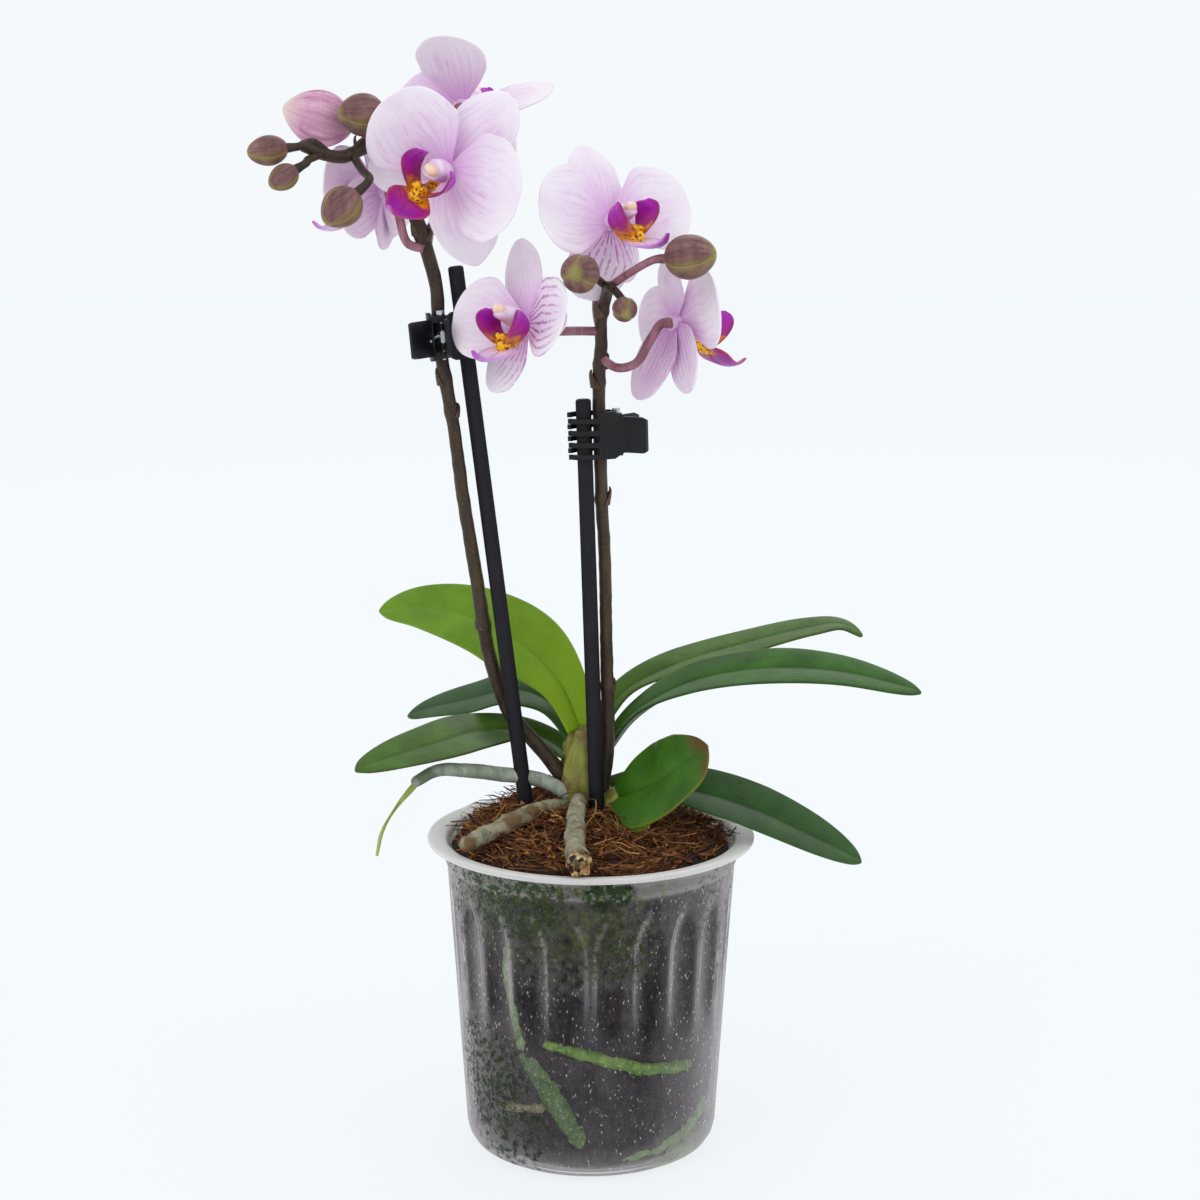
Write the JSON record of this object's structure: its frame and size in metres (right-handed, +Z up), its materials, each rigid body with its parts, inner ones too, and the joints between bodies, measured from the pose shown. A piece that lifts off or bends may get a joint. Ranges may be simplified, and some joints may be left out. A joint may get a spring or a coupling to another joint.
{
  "type": "potted orchid",
  "caption": "Moth orchid in bloom in a clear fluted grow pot, with strap leaves, aerial roots and two staked flower spikes held by small claw clips.",
  "frame": {"origin": "centre of the pot's underside, on the surface it stands on", "axes": "+Z up, -Y towards the front of the plant, +X to the viewer's right from the front"},
  "size_m": [0.175, 0.09, 0.3026],
  "materials": {
    "clear_plastic": "frosted clear polypropylene, slightly hazed",
    "coir": "matt coir fibre",
    "sheath": "satin",
    "leaf": "satin, waxy",
    "young_leaf": "satin, waxy",
    "aerial_root": "matt, felted",
    "green_root": "satin",
    "stem": "satin",
    "bud": "satin",
    "pink_bud": "satin",
    "petal": "soft satin",
    "lip": "satin",
    "black_plastic": "satin moulded",
    "wire": "bright drawn wire"
  },
  "bodies": {
    "plant": {"pot": "clear_plastic", "coir": "coir", "crown": "sheath", "leaf_left_top": "young_leaf", "leaf_left_middle": "leaf", "leaf_left_low": "leaf", "leaf_right_top": "leaf", "leaf_right_middle": "leaf", "leaf_right_front": "leaf", "leaf_right_low": "leaf", "root_hanging": "aerial_root", "root_left": "aerial_root", "root_front": "aerial_root", "root_right": "aerial_root", "wall_root_1": "green_root", "wall_root_2": "green_root", "wall_root_3": "green_root", "wall_root_4": "green_root", "wall_root_5": "green_root", "stake_left": "black_plastic", "stake_right": "black_plastic", "spike_left": "stem", "spike_right": "stem", "bud_pink": "pink_bud", "bud_upper": "bud", "bud_lower": "bud", "bud_outer": "bud", "bud_tip": "bud", "bud_round": "bud", "bud_big": "bud", "bud_small": "bud", "bloom_a": "petal", "bloom_b": "petal", "bloom_c": "petal", "bloom_d": "petal", "bloom_e": "petal", "bloom_f": "petal", "bloom_a_lip": "lip", "bloom_b_lip": "lip", "bloom_c_lip": "lip", "bloom_d_lip": "lip", "bloom_e_lip": "lip", "bloom_f_lip": "lip", "clip_right_jaw": "black_plastic", "clip_right_spring": "wire", "clip_left_jaw": "black_plastic", "clip_left_spring": "wire"},
    "clip_right_opener": {"clip_right_moving_jaw": "black_plastic"},
    "clip_left_opener": {"clip_left_moving_jaw": "black_plastic"}
  },
  "joints": [
    {"name": "clip_right_hinge", "type": "hinge", "parent": "plant", "child": "clip_right_opener", "pos_m": [0.007, -0.0009, 0.1985], "axis": [0.03, -0.01, -0.9995], "range_deg": [0, 60], "stiffness_Nm_per_rad": 0.01, "springref_deg": -20.05},
    {"name": "clip_left_hinge", "type": "hinge", "parent": "plant", "child": "clip_left_opener", "pos_m": [-0.03865, -0.00995, 0.225], "axis": [0.0896, 0, -0.996], "range_deg": [0, 25], "stiffness_Nm_per_rad": 0.01, "springref_deg": -20.05}
  ]
}
